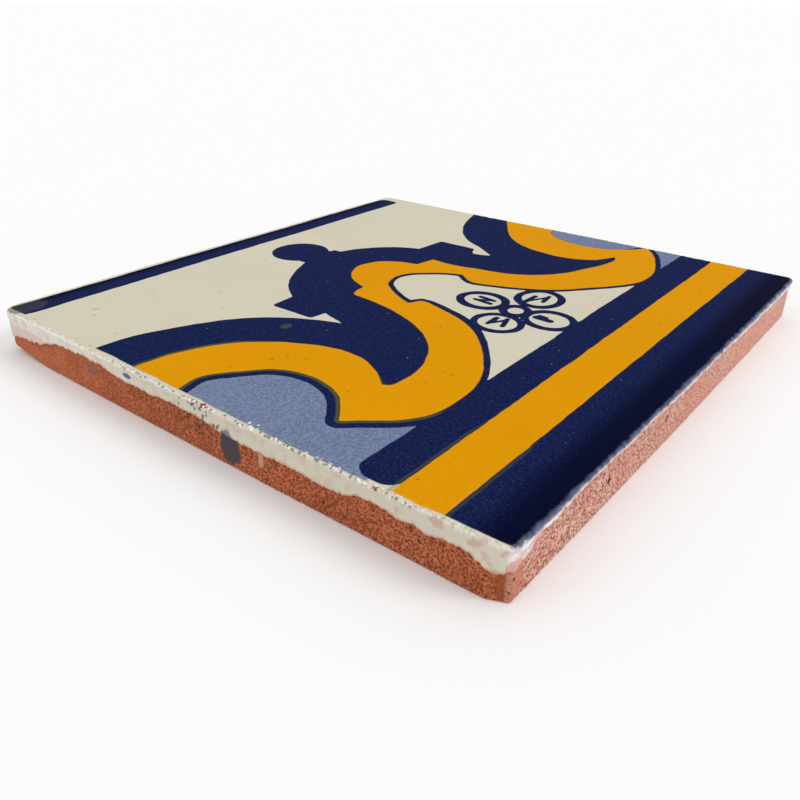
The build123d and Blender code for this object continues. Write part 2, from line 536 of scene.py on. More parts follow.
# %% The stripes and the flower
pattern_shift = np.array([0.2, -0.25])
knob_centre, knob_radius = (3.0, 35.2), 6.0
stem_middle, stem_reach = (-6.0, -14.0), 9.0
plain_outline, wider_left, wider_stem, narrower_curl = 1.0, 0.85, 0.4, 1.4
swell_middle, swell_reach, swell_width = -22, 24, 0.95
border_corner = 0.8
navy_stripes = [((-51.9, -36), (beyond, -29.3), 2.4), ((-54, -56), (beyond, -43), 0.6),
                ((-52.3, 46), (49.5, 51.5), 1.6)]
painted_low, painted_high = (-51.7, -52.5), (52.6, 51.6)
petals = [((-3.6, -18.8), (3.7, 4.1), 1.35), ((3.6, -11.1), (3.6, 4.3), 1.6),
          ((10.6, -18.8), (4.1, 3.9), 1.5), ((2.8, -25.1), (3.7, 4.3), 1.5), ((2.9, -18.4), (2.2, 2.2), 1.6)]
petal_strokes = [((-4.9, -17.6), (-1.9, -17.6), 0.9), ((-4.4, -20.3), (-1.3, -19.4), 0.8),
                 ((-4.9, -17.6), (-1.9, -19.4), 0.6), ((3.2, -9.6), (3.0, -13.1), 0.9),
                 ((4.9, -9.8), (4.6, -12.9), 0.9), ((3.2, -9.8), (4.6, -12.7), 0.7),
                 ((7.8, -17.4), (11.3, -17.5), 1.0), ((9.6, -20.0), (12.8, -19.6), 0.9),
                 ((8.2, -17.5), (12.2, -19.6), 0.7), ((2.7, -22.8), (2.55, -25.4), 1.5),
                 ((3.6, -22.9), (3.5, -24.3), 0.8), ((11.1, -2.2), (12.3, -0.7), 1.5)]
print("the flower has", len(petals), "ovals and", len(petal_strokes), "strokes")


# %% The numbers that the material reads
def paint_swell(places):
    """How much further left the paint reaches, about the middle of the left side: a bell curve."""
    from_swell = (places[:, 1] - swell_middle) / swell_reach
    swell = -swell_width * np.exp(-(from_swell**2)) * (places[:, 0] < 0)
    return np.column_stack([swell, np.zeros(len(places))])


def paint_distances(points):
    """Distance of every point from the edge of the navy, the yellow, the pale blue and all the paint.

    The last number is 1 where the olive seam is wide, on the left, and 0 where it is narrow.
    """
    places = points[:, :2] - pattern_shift
    scroll_edge = from_shape(places, scroll)
    yellow_stripe = from_box(places, (-beyond, -43.1), (beyond, -35.8))
    near_left = np.clip((-30 - places[:, 0]) / 6, 0, 1)
    stem = np.exp(-((places - stem_middle) ** 2).sum(1) / stem_reach**2)
    far_curl = np.clip((places[:, 0] - 38) / 3, 0, 1) * np.clip((places[:, 1] + 20) / 3, 0, 1)
    outline_width = plain_outline + wider_left * near_left + wider_stem * stem - narrower_curl * far_curl
    navy = [from_shape(places, backing), scroll_edge - outline_width]
    navy.append(np.linalg.norm(places - knob_centre, axis=1) - knob_radius)
    for low, high, corner in navy_stripes:
        navy.append(from_box(places, low, high, corner))
    for centre, half, width in petals:
        navy.append(np.abs(from_oval(places, centre, half)) - width / 2)
    for start, end, width in petal_strokes:
        navy.append(from_line(places, start, end, width))
    return {
        "navy": np.minimum.reduce(navy),
        "yellow": np.minimum(scroll_edge, yellow_stripe),
        "pale": np.minimum(from_shape(places, left_field), from_shape(places, right_field)),
        "border": from_box(places - paint_swell(places), painted_low, painted_high, border_corner),
        "fringe": near_left,
    }


rim_corner = 1.6


def from_rim(points):
    """Distance from the upright side of the slab, negative over the face: a box with bowed sides."""
    half = face_size / 2
    edge = half + side_bow * (1 - (points[:, 1::-1] / half[::-1]) ** 2)
    past = np.abs(points[:, :2]) - edge + rim_corner
    return np.linalg.norm(np.maximum(past, 0), axis=1) + np.minimum(past.max(1), 0) - rim_corner


# %% The coat as a mesh, with its numbers
numbers = paint_distances(coat_points)
numbers["inset"] = from_rim(coat_points)
numbers["lip"] = np.concatenate([np.full(first_ring, top), *above_lip, [0.0]])
glaze_coat = new_piece("glaze_coat", coat_points, coat_faces, numbers)
for title, values in numbers.items():
    print(title, "runs from", values.min().round(2), "to", values.max().round(2))

# %% [markdown]
# ## The clay
#
# Below the glaze line the clay is bare: a coarse red body full of sand, with pores where grains fell
# out. Rings go from the flat back, round the worn foot, and up the side to just under the glaze. The
# grain is real relief, because it shows as a rough line along the foot. It only cuts inwards, so
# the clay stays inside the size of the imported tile. Under the back left corner the foot is worn away,
# so the bottom is lifted there, most at the corner's tip.

# %% Grain, wear and pores
back_inset = 4.0
clay_sides = (360, 270, 270, 380)
clay_corner = 16
clay_top = top - 0.5
worn_middle, worn_reach, worn_height, worn_deep = (-52.4, 52.0), 12.0, 3.4, 1.7
clay_layers = [(0.045, 0.55, 11), (0.03, 0.3, 12), (0.05, 2.2, 13), (0.05, 9.0, 14)]
relief_on_the_level = 0.35


def clay_relief(points):
    """How far the surface lies inside the slab's: sand grain at three sizes, and slow dents.

    Each layer is a height times one more than the noise, so it is never less than nothing.
    """
    return sum(height * (1 + noise(points, cell, kind)) for height, cell, kind in clay_layers)


def worn_corner(points):
    """How far the bottom is worn upwards: most at the back left corner, and none above a few mm."""
    near = 1 - np.linalg.norm(points[:, :2] - worn_middle, axis=1) / worn_reach
    low = 1 - points[:, 2] / worn_height
    return worn_deep * np.clip(near, 0, 1) * np.clip(low, 0, 1)


def pores(points, count=170):
    """Round pits at random places on the sides, each a smooth bowl of its own width and depth."""
    draw = np.random.default_rng(seed + 30)
    side = draw.integers(0, 4, count)
    along, height = draw.uniform(-50, 50, count), draw.uniform(0.6, top - 1.2, count)
    half_x, half_y = foot_size / 2
    x = np.choose(side, [along, np.full(count, half_x), along, np.full(count, -half_x)])
    y = np.choose(side, [np.full(count, -half_y), along, np.full(count, half_y), along])
    width, deep = draw.uniform(0.25, 0.6, count), draw.uniform(0.12, 0.4, count)
    dent = np.zeros(len(points))
    for centre, radius, bowl in zip(np.column_stack([x, y, height]), width, deep):
        near = np.linalg.norm(points - centre, axis=1) / radius
        dent = np.maximum(dent, bowl * np.clip(1 - near**2, 0, 1))
    return dent


print("the grain is up to", round(2 * sum(layer[0] for layer in clay_layers), 2), "mm deep")

# %% Build the clay
face_places, outward = outline(face_size, face_reach, clay_sides, clay_corner)
foot_places, _ = outline(foot_size, foot_reach, clay_sides, clay_corner)
level = np.ones(len(face_places))
section = [(-2.0, 0.0, -90), (-1.2, 0.0, -90)]
for angle in np.linspace(-90, 0, 7):
    turn = math.radians(angle)
    section.append((foot_edge * (math.cos(turn) - 1), foot_edge * (1 + math.sin(turn)), angle))
for height in np.linspace(foot_edge, clay_top, 25)[1:]:
    section.append((0.0, height, 0))
rings = []
for offset, height, lean in section:
    ring = around(face_places, foot_places, outward, offset * level, height * level)
    turn = math.radians(lean)
    inwards = clay_relief(ring) + pores(ring)
    inwards *= relief_on_the_level + (1 - relief_on_the_level) * math.cos(turn)
    ring[:, :2] -= (inwards * math.cos(turn))[:, None] * outward
    ring[:, 2] -= inwards * math.sin(turn)
    ring[:, 2] += worn_corner(ring)
    rings.append(ring)
rings.append(around(face_places, foot_places, outward, -1.0 * level, clay_top * level))

grid_x, grid_y = foot_size / 2 - back_inset
columns_x, rows_y = stretches([-grid_x, grid_x], [1.2]), stretches([-grid_y, grid_y], [1.2])
x, y = np.meshgrid(columns_x, rows_y)
back = np.stack([x, y, np.zeros_like(x)], axis=-1).reshape(-1, 3)
back[:, 2] = relief_on_the_level * clay_relief(back) + worn_corner(back)
clay_points = np.concatenate([back, *rings, [[0, 0, clay_top]]])
ring_columns, first_ring = len(face_places), len(back)
last_ring = first_ring + (len(rings) - 1) * ring_columns
clay_faces = [
    grid_faces(0, len(rows_y), len(columns_x))[:, ::-1],
    strip_faces(clay_points, border_of(0, len(rows_y), len(columns_x)),
                first_ring + np.arange(ring_columns))[:, ::-1],
    grid_faces(first_ring, len(rings), ring_columns, closed=True),
    cap_faces(last_ring + np.arange(ring_columns), len(clay_points) - 1),
]
clay_body = new_piece("clay_body", clay_points, clay_faces, {})

# %% [markdown]
# ## Building materials from small parts
#
# A material is a tree of nodes. A few short helpers keep the code readable: `add` makes a node and
# feeds its sockets, `calc` is one sum, `times` multiplies, `mix` blends two colours, `over` lays one
# colour over another, and `mask` turns a number into a soft switch. Effects that both materials use
# are node groups, made once.

# %% Helpers for nodes
def feed(tree, socket, value):
    """Joins a socket to another one, or sets it to a plain value."""
    if isinstance(value, bpy.types.NodeSocket):
        tree.links.new(value, socket)
    else:
        socket.default_value = value


def add(tree, kind, inputs=None, **settings):
    """A new node with its settings made and its inputs fed."""
    node = tree.nodes.new(kind)
    for title, value in settings.items():
        setattr(node, title, value)
    for title, value in (inputs or {}).items():
        feed(tree, node.inputs[title], value)
    return node


def calc(tree, operation, *values):
    """One sum on up to three numbers."""
    return add(tree, "ShaderNodeMath", dict(enumerate(values)), operation=operation).outputs[0]


def times(tree, first, *others):
    """All the numbers multiplied together."""
    for value in others:
        first = calc(tree, "MULTIPLY", first, value)
    return first


def mix(tree, share, first, second):
    """The first colour where share is 0 and the second where it is 1."""
    inputs = {0: share, 6: first, 7: second}
    return add(tree, "ShaderNodeMix", inputs, data_type="RGBA").outputs[2]


def over(tree, base, share, strength, tone):
    """The base with another colour laid over it: where share says, and as much as strength says."""
    return mix(tree, times(tree, share, strength), base, tone)


def mask(tree, value, low, high, at_low=1.0, at_high=0.0):
    """A smooth switch: at_low below low, at_high above high, eased between them."""
    inputs = {"Value": value, "From Min": low, "From Max": high, "To Min": at_low, "To Max": at_high}
    return add(tree, "ShaderNodeMapRange", inputs, interpolation_type="SMOOTHSTEP").outputs[0]


def scatter(tree, place, size, detail=2.0, roughness=0.5):
    """Noise from 0 to 1 whose lumps are about this size in millimetres."""
    inputs = {"Vector": place, "Scale": 1 / (size * MM), "Detail": detail, "Roughness": roughness}
    return add(tree, "ShaderNodeTexNoise", inputs).outputs[0]


# %% Colours, new materials and new groups
def colour(red, green, blue):
    """A colour written from 0 to 255 as a screen shows it, turned into the shader's linear one."""
    parts = np.array([red, green, blue]) / 255
    linear = np.where(parts <= 0.04045, parts / 12.92, ((parts + 0.055) / 1.055) ** 2.4)
    return (*linear.tolist(), 1.0)


def new_material(name):
    """An empty material, its tree, its surface shader, and the place on the object in metres and in mm."""
    material = bpy.data.materials.new(name)
    material.use_nodes = True
    tree = material.node_tree
    place = add(tree, "ShaderNodeTexCoord").outputs["Object"]
    split = add(tree, "ShaderNodeSeparateXYZ", {0: place})
    from_middle = [times(tree, axis, 1 / MM) for axis in split.outputs]
    return material, tree, tree.nodes["Principled BSDF"], place, from_middle


def new_group(title, takes, gives):
    """An empty node group with named sockets, and the nodes at its two ends."""
    group = bpy.data.node_groups.new(title, "ShaderNodeTree")
    for name, kind in takes:
        group.interface.new_socket(name, in_out="INPUT", socket_type=kind)
    for name, kind in gives:
        group.interface.new_socket(name, in_out="OUTPUT", socket_type=kind)
    return group, group.nodes.new("NodeGroupInput").outputs, group.nodes.new("NodeGroupOutput").inputs


print("yellow, as the shader reads it:", [round(part, 3) for part in colour(227, 153, 0)])

# %% [markdown]
# ## Specks and smears
#
# Both finishes are full of specks: pale grains and pinholes in the glaze, sand in the clay. A cell
# pattern gives every speck a middle and a random number, and the number decides which cells have
# one. A smear is an oval with a ragged edge, such as the smudge of blue on the left side. Its size
# is how far out a place lies, as a share of the oval's reach, plus noise.

# %% Node groups that both materials use
smear_noise, smear_full, smear_gone = 0.6, 1.15, 1.4

specks, taken, given = new_group(
    "specks",
    [("Place", "NodeSocketVector"), ("Scale", "NodeSocketFloat"), ("Share", "NodeSocketFloat"),
     ("Width", "NodeSocketFloat")],
    [("Mask", "NodeSocketFloat")],
)
cells = add(specks, "ShaderNodeTexVoronoi", {"Vector": taken["Place"], "Scale": taken["Scale"]})
chance = add(specks, "ShaderNodeSeparateColor", {"Color": cells.outputs["Color"]}).outputs[0]
chosen = calc(specks, "LESS_THAN", chance, taken["Share"])
spot = mask(specks, cells.outputs["Distance"], times(specks, taken["Width"], 0.5), taken["Width"])
feed(specks, given["Mask"], times(specks, chosen, spot))

smear, taken, given = new_group(
    "smear",
    [("Place", "NodeSocketVector"), ("Centre", "NodeSocketVector"), ("Reach", "NodeSocketVector")],
    [("Mask", "NodeSocketFloat")],
)
away = add(smear, "ShaderNodeVectorMath", {0: taken["Place"], 1: taken["Centre"]}, operation="SUBTRACT")
scaled = add(smear, "ShaderNodeVectorMath", {0: away.outputs[0], 1: taken["Reach"]}, operation="DIVIDE")
length = add(smear, "ShaderNodeVectorMath", {0: scaled.outputs[0]}, operation="LENGTH").outputs["Value"]
size = calc(smear, "MULTIPLY_ADD", scatter(smear, taken["Place"], 1.0, 3), smear_noise, length)
feed(smear, given["Mask"], mask(smear, size, smear_full, smear_gone))
print("node groups:", [group.name for group in (specks, smear)])


# %% The two groups placed in a material
def speckled(tree, place, size, share, width=0.35):
    """The specks group, placed in a material: its mask for specks this many millimetres apart."""
    inputs = {"Place": place, "Scale": 1 / (size * MM), "Share": share, "Width": width}
    return add(tree, "ShaderNodeGroup", inputs, node_tree=specks).outputs[0]


def smeared(tree, place, centre, reach):
    """The smear group, placed in a material: an oval of this centre and reach in millimetres."""
    inputs = {"Place": place, "Centre": [c * MM for c in centre], "Reach": [r * MM for r in reach]}
    return add(tree, "ShaderNodeGroup", inputs, node_tree=smear).outputs[0]


def marked(tree, place, base, marks):
    """The colour with every mark of a list laid on it: centre, reach, strength and colour of each."""
    for centre, reach, strength, tone in marks:
        base = over(tree, base, smeared(tree, place, centre, reach), strength, tone)
    return base


# %% [markdown]
# ## The glaze
#
# The colours go on as the painter put them: cream all over, then pale blue, navy and yellow, and
# a dark olive seam where yellow ran into navy. Each has its own texture: fine pale threads in the
# pale blue, grains in the navy, pinholes and dark dots in the yellow. Where the navy is thickest,
# along the outer half of the stripes, it is nearly black. The gloss is a clear coat over the paint,
# thin on the face and fuller along the edge, so the dark colours stay dark when they are seen aslant.
#
# Along the top edge the glaze is thin and full of burst bubbles, and the clay shines through it in
# pink patches. The bubbles' sparkle is painted in as white glints, painted highlights. On the front
# side it is white by the corner, and further on a bluish grey with dark blue threads. The number
# called inset, the distance to the upright side, finds the edge, and the one called lip, the height
# above the glaze line, finds where it ends.

# %% Marks on the glaze: centre, reach, strength and colour of each
glaze_marks = [
    ((-53, 14.1, top - 1.2), (1.5, 1.0, 0.45), 0.9, colour(72, 92, 134)),
    ((-53, 44.0, top - 3.5), (1.5, 8.5, 1.5), 0.45, colour(222, 170, 152)),
    # a painted reflection: a dark grey patch over the left end of the back navy stripe
    ((-49.4, 49.2, top), (3.8, 2.6, 0.5), 0.6, colour(66, 64, 72)),
    ((-51.4, -52.5, top - 3.0), (1.6, 1.5, 1.2), 0.75, colour(216, 148, 126)),
    ((-53, -8.4, top - 4.0), (1.5, 1.7, 1.9), 0.85, colour(112, 120, 140)),
    ((-52.6, -3.6, top), (0.5, 0.45, 0.5), 1.0, colour(160, 58, 34)),
    ((-52.6, -34.4, top), (0.35, 0.25, 0.4), 0.9, colour(150, 52, 34)),
    ((-42.6, 39.0, top), (0.8, 0.6, 0.5), 0.35, colour(150, 150, 140)),
    ((-26.8, 7.5, top), (1.1, 0.9, 0.5), 0.5, colour(84, 88, 74)),
    ((-37.0, -0.2, top), (0.5, 0.35, 0.5), 0.45, colour(150, 112, 10)),
    ((-35.0, -1.5, top), (0.4, 0.3, 0.5), 0.4, colour(150, 112, 10)),
    ((-33.8, -4.4, top), (0.4, 0.3, 0.5), 0.4, colour(160, 120, 10)),
    ((-42.8, 2.7, top), (0.4, 0.4, 0.5), 0.35, colour(160, 120, 10)),
    ((-37.6, -16.2, top), (0.35, 0.3, 0.5), 0.4, colour(150, 112, 10)),
]
speck_field = ((-53, -2.6, top - 2.4), (1.5, 5.0, 3.0))
# a painted cluster of sparkle on the left top edge: white highlights laid into the colour
painted_sparkle_field = ((-52.2, -12.4, top), (1.0, 1.9, 0.8))
print(len(glaze_marks), "marks on the glaze")


# %% The four paints
thick_front, thick_back = (-49.8, -45.2), (48.4, 50.6)


def paints(tree, place, y):
    """Cream, pale blue, navy and yellow, each with its own specks, threads or grains.

    Threads are where a noise is near its middle value. The navy turns nearly black towards the outer
    edge of each stripe, between two places in y.
    """
    fine, slow = scatter(tree, place, 0.4, 3), scatter(tree, place, 14)
    cream = mix(tree, slow, colour(216, 210, 190), colour(208, 202, 180))
    cream = over(tree, cream, speckled(tree, place, 2.6, 0.18, 0.2), 0.3, colour(150, 130, 105))

    threads = calc(tree, "ABSOLUTE", calc(tree, "SUBTRACT", scatter(tree, place, 0.75, 4, 0.65), 0.5))
    pale = mix(tree, slow, colour(98, 114, 148), colour(110, 124, 152))
    pale = over(tree, pale, mask(tree, threads, 0.0, 0.055), 0.42, colour(166, 177, 196))

    navy = mix(tree, mask(tree, fine, 0.35, 0.7, 0, 1), colour(14, 23, 64), colour(27, 39, 86))
    navy = over(tree, navy, speckled(tree, place, 0.36, 0.3, 0.35), 0.35, colour(72, 88, 142))
    navy = over(tree, navy, speckled(tree, place, 1.7, 0.12, 0.09), 0.7, colour(160, 168, 190))
    deep = calc(tree, "MAXIMUM", mask(tree, y, *thick_front), mask(tree, y, *thick_back, 0, 1))
    navy = over(tree, navy, deep, 0.85, colour(2, 4, 32))

    yellow = mix(tree, slow, colour(227, 153, 0), colour(217, 145, 0))
    yellow = mix(tree, mask(tree, fine, 0.4, 0.8, 0, 0.5), yellow, colour(236, 168, 24))
    yellow = over(tree, yellow, speckled(tree, place, 2.2, 0.12, 0.14), 0.55, colour(140, 100, 5))
    return cream, pale, navy, yellow


# %% The paints laid on the face
paint_edge = 0.07
seam_stripe_end = (-36, -34)


def painted_face(tree, place, number, y):
    """Each paint where its distance is below zero, inside the painted area, and the olive seam on top.

    A slow noise makes every edge wobble by up to a quarter of a millimetre. The seam lies where the
    distance from the yellow's edge is near zero, or a little outside it where the seam is wide.
    """
    wobble = calc(tree, "MULTIPLY_ADD", scatter(tree, place, 3.5, 4), 0.5, -0.25)
    base, *painted = paints(tree, place, y)
    inside = calc(tree, "MULTIPLY_ADD", wobble, 1.2, number["border"])
    inside = mask(tree, inside, -2 * paint_edge, 2 * paint_edge)
    edges = [calc(tree, "ADD", number[title], wobble) for title in ("pale", "navy", "yellow")]
    for edge, tone in zip(edges, painted):
        base = over(tree, base, mask(tree, edge, -paint_edge, paint_edge), inside, tone)

    seam_place = calc(tree, "MULTIPLY_ADD", number["fringe"], 0.3, 0.03)
    seam_width = times(tree, number["fringe"], 0.22)
    seam = calc(tree, "ABSOLUTE", calc(tree, "SUBTRACT", edges[-1], seam_place))
    seam = mask(tree, calc(tree, "SUBTRACT", seam, seam_width), -0.12, 0.2)
    olive = mix(tree, number["fringe"], colour(50, 54, 30), colour(82, 86, 48))
    return over(tree, base, times(tree, seam, inside), mask(tree, y, *seam_stripe_end, 0.4, 0.85), olive)


# %% The thin glaze along the edge
below_arris, at_arris = (top - 0.8, top - 0.4), (top - 0.7, top - 0.4)
white_front_end = (-49.0, -46.0)


def at_front(tree, x, y):
    """One on the front side, and none past the upright edge of the front left corner."""
    past_corner = mask(tree, calc(tree, "SUBTRACT", x, y), -0.8, -0.2, 0, 1)
    return times(tree, mask(tree, y, -51.5, -50.7), past_corner)


def glazed_sides(tree, place, number, from_middle, front, base):
    """The sides' own glaze laid over the paint, and the mask that says where it is.

    The mask starts at a ragged distance from the upright side, or below the top edge. The front side
    goes from white to grey above a ragged height over the glaze line. Pink patches lie where a noise
    is high, blue threads where a drawn-out noise is, and clay colour where the glaze has almost ended.
    """
    x, y, z = from_middle
    torn = calc(tree, "SUBTRACT", scatter(tree, place, 1.2, 4), 0.5)
    haze = mask(tree, calc(tree, "MULTIPLY_ADD", torn, 0.9, number["inset"]), -0.45, 0.25, 0, 1)
    base = over(tree, base, times(tree, haze, front), 0.55, colour(140, 144, 170))

    rim_start = calc(tree, "MULTIPLY_ADD", front, 0.35, -0.25)
    rim = calc(tree, "SUBTRACT", calc(tree, "MULTIPLY_ADD", torn, 0.6, number["inset"]), rim_start)
    rim = calc(tree, "MAXIMUM", mask(tree, rim, 0.0, 0.3, 0, 1), mask(tree, z, *below_arris))
    left_side = mix(tree, mask(tree, y, 0, 40, 0, 1), colour(228, 220, 200), colour(246, 240, 230))
    high = mask(tree, calc(tree, "MULTIPLY_ADD", torn, 1.2, number["lip"]), 0.5, 1.2, 0, 1)
    high = times(tree, high, mask(tree, x, *white_front_end, 0, 0.8))
    front_side = mix(tree, high, colour(250, 246, 248), colour(138, 142, 168))
    base = mix(tree, rim, base, mix(tree, front, left_side, front_side))

    thin = times(tree, mask(tree, scatter(tree, place, 1.9, 4), 0.5, 0.66, 0, 1), rim)
    base = over(tree, base, thin, mask(tree, y, -44, -30, 0.6, 0.3), colour(206, 160, 148))
    drawn_out = add(tree, "ShaderNodeMapping", {"Vector": place, "Scale": (0.12, 1.0, 1.0)}).outputs[0]
    blue = times(tree, mask(tree, scatter(tree, drawn_out, 0.4, 3), 0.56, 0.62, 0, 1), front, rim)
    base = over(tree, base, blue, mask(tree, x, *white_front_end, 0, 0.5), colour(84, 92, 134))
    melted = calc(tree, "MULTIPLY_ADD", scatter(tree, place, 0.5, 3), -0.8, number["lip"])
    return mix(tree, mask(tree, melted, -0.4, 0.1, 0.75, 0), base, colour(205, 140, 112)), rim


# %% The sparkling top edge and the whole material
def sparkling_edge(tree, place, number, from_middle, front, base):
    """Dark burst bubbles along the left top edge, and painted glints: white highlights laid into the colour
    there and in a cluster on the left edge; and the masks of both.
    """
    y, z = from_middle[1:]
    arris = mask(tree, calc(tree, "ABSOLUTE", calc(tree, "ADD", number["inset"], 0.1)), 0.2, 0.5)
    arris = times(tree, arris, calc(tree, "SUBTRACT", 1.0, front), mask(tree, z, *at_arris, 0, 1))
    arris = times(tree, arris, mask(tree, y, -47, -38, 0.35, 1))
    dark_beads = times(tree, speckled(tree, place, 0.6, 0.6, 0.5), arris, mask(tree, y, 8, 24, 1, 0.35))
    base = over(tree, base, dark_beads, 0.75, colour(104, 88, 82))
    # painted highlights: white glints laid into the colour along the top edge, with a painted cluster of them
    # on the left edge
    painted_glints = times(tree, speckled(tree, place, 0.55, 0.6, 0.5), arris)
    painted_sparkles = times(tree, smeared(tree, place, *painted_sparkle_field), speckled(tree, place, 0.8, 0.7, 0.5))
    painted_glints = calc(tree, "MAXIMUM", painted_glints, painted_sparkles)
    return over(tree, base, painted_glints, 0.92, colour(255, 254, 250)), dark_beads, painted_glints


def glaze_material():
    """Coloured glazes over cream under a clear coat, with a thin, bubbly and sparkling edge."""
    material, tree, surface, place, from_middle = new_material("painted_glaze")
    number = {
        title: add(tree, "ShaderNodeAttribute", attribute_name=title).outputs["Fac"]
        for title in ("navy", "yellow", "pale", "border", "fringe", "inset", "lip")
    }
    front = at_front(tree, *from_middle[:2])
    base = painted_face(tree, place, number, from_middle[1])
    base, rim = glazed_sides(tree, place, number, from_middle, front, base)
    base = marked(tree, place, base, glaze_marks)
    base, dark_beads, painted_glints = sparkling_edge(tree, place, number, from_middle, front, base)
    soot = times(tree, smeared(tree, place, *speck_field), speckled(tree, place, 0.9, 0.7, 0.45), rim)
    base = over(tree, base, soot, 0.85, colour(70, 72, 76))

    feed(tree, surface.inputs["Base Color"], base)
    feed(tree, surface.inputs["Roughness"], mask(tree, scatter(tree, place, 1.6, 3), 0.3, 0.7, 0.35, 0.5))
    gloss = calc(tree, "MULTIPLY_ADD", rim, 0.35, 0.03)
    feed(tree, surface.inputs["Coat Weight"], calc(tree, "MAXIMUM", gloss, painted_glints))
    surface.inputs["Coat Roughness"].default_value = 0.08
    surface.inputs["Specular IOR Level"].default_value = 0.0
    peel, grain = times(tree, scatter(tree, place, 1.3), 0.012), times(tree, scatter(tree, place, 0.3), 0.008)
    beads = times(tree, calc(tree, "MAXIMUM", dark_beads, painted_glints), 0.06)
    relief = calc(tree, "ADD", calc(tree, "ADD", peel, grain), beads)
    bump = add(tree, "ShaderNodeBump", {"Strength": 1.0, "Distance": MM, "Height": relief})
    feed(tree, surface.inputs["Normal"], bump.outputs[0])
    return material


# %% [markdown]
# ## The bare clay
#
# Fired red clay is matte. Its colour comes from the sand in it: dark iron grains, pale quartz and
# orange body, all at about 0.4 mm. The front side is painted pinker and paler than the left, which
# stands for the light on it, and paler still further from the camera, a painted sheen. The left side
# is painted a deeper orange-brown, a painted shade, and smoother towards the back. Round the front
# left corner it was rubbed smooth.

# %% Marks on the clay: centre, reach, strength and colour of each
clay_marks = [
    ((-53, -8.7, top - 4.8), (1.5, 2.1, 2.5), 0.92, colour(74, 79, 90)),
    ((-53, -14.7, top - 4.4), (1.5, 0.5, 1.3), 0.6, colour(232, 200, 178)),
    ((-53, 24.4, top - 3.4), (1.5, 2.0, 1.0), 0.35, colour(110, 92, 100)),
    ((-53, -39.3, top - 3.5), (1.5, 0.35, 0.5), 0.6, colour(84, 40, 28)),
    ((-53, -40.6, top - 4.5), (1.5, 0.3, 0.3), 0.6, colour(84, 40, 28)),
    ((-29.1, -52.4, top - 4.0), (0.5, 1.5, 0.5), 0.95, colour(40, 34, 40)),
    ((-10.9, -52.4, top - 3.4), (0.9, 1.5, 0.6), 0.6, colour(120, 60, 50)),
]
rubbed_corner = ((-51.4, -51.6, top - 5.4), (2.3, 1.4, 2.6))
print(len(clay_marks), "marks on the clay")


# %% The clay material
def clay_body_colour(tree, place, x, y, front, sand):
    """Sandy red clay with slow patches and a rubbed corner, each colour in a darker copy for the left side,
    painted shade, and a paler, pinker copy for the front, painted light.
    """
    # painted light and shade: the left side's clay is a darker copy, the front's a paler, pinker one
    shaded_left_clay = mix(tree, sand, colour(144, 68, 41), colour(232, 138, 94))
    lit_front_clay = mix(tree, sand, colour(172, 90, 72), colour(255, 208, 190))
    body = mix(tree, front, shaded_left_clay, lit_front_clay)
    patches = mask(tree, scatter(tree, place, 5, 3), 0.4, 0.7, 0, 1)
    body = over(tree, body, patches, 0.3, mix(tree, front, colour(150, 72, 42), colour(214, 128, 104)))
    # painted sheen: the front side turns paler further from the camera
    far_sheen = times(tree, front, mask(tree, x, -40, 40, 0, 0.55))
    body = mix(tree, far_sheen, body, colour(242, 180, 162))
    rubbed = smeared(tree, place, *rubbed_corner)
    return over(tree, body, rubbed, 0.7, mix(tree, front, colour(168, 90, 58), colour(212, 136, 106)))


def clay_material():
    """Sandy red clay, matte, with dark and pale grains and pores."""
    material, tree, surface, place, (x, y, _) = new_material("bare_clay")
    front = at_front(tree, x, y)
    grain = scatter(tree, place, 0.36, 3, 0.7)
    smooth = mask(tree, y, 5, 40, 0, 0.6)
    sand = mask(tree, grain, 0.38, 0.62, 0, 1)
    sand = calc(tree, "MULTIPLY_ADD", calc(tree, "SUBTRACT", 0.6, sand), smooth, sand)
    body = clay_body_colour(tree, place, x, y, front, sand)
    dark, light = speckled(tree, place, 0.7, 0.16, 0.3), speckled(tree, place, 0.5, 0.14, 0.3)
    holes = speckled(tree, place, 1.9, 0.12, 0.16)
    body = over(tree, body, dark, 0.7, colour(84, 38, 26))
    # the pale grains are paler on the front too, painted light
    body = over(tree, body, light, 0.45, mix(tree, front, colour(214, 140, 104), colour(250, 214, 200)))
    body = over(tree, body, holes, 0.85, colour(40, 24, 20))
    soot = times(tree, smeared(tree, place, *speck_field), speckled(tree, place, 0.9, 0.6, 0.42))
    body = over(tree, body, soot, 0.8, colour(58, 54, 56))
    body = marked(tree, place, body, clay_marks)

    feed(tree, surface.inputs["Base Color"], body)
    surface.inputs["Roughness"].default_value = 0.92
    surface.inputs["Specular IOR Level"].default_value = 0.15
    height = times(tree, grain, calc(tree, "MULTIPLY_ADD", smooth, -0.35, 0.4))
    pits = times(tree, calc(tree, "MAXIMUM", holes, dark), -0.12)
    relief = calc(tree, "ADD", height, calc(tree, "ADD", pits, times(tree, light, 0.06)))
    bump = add(tree, "ShaderNodeBump", {"Strength": 1.0, "Distance": MM, "Height": relief})
    feed(tree, surface.inputs["Normal"], bump.outputs[0])
    return material


# %% Give each piece its finish and its place on the frame
for piece, make, slot in ((glaze_coat, glaze_material, "glaze"), (clay_body, clay_material, "clay")):
    piece.data.materials.append(make())
    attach(piece, "root")
    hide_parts("tile")
    print(piece.name, "has", len(piece.data.materials[0].node_tree.nodes), "nodes")

# %% [markdown]
# ## The floor, the light and the camera
#
# The tile lies on a white floor. The sky is an even pale light, which the camera and the gloss see
# as white, and one soft sun from the front right lights the front side more than the left.
#
# The camera stands close and low over the front left corner, as the photograph's did, so the far
# corner looks much smaller than the near one. Its place and angles were fitted to the tile's edges.

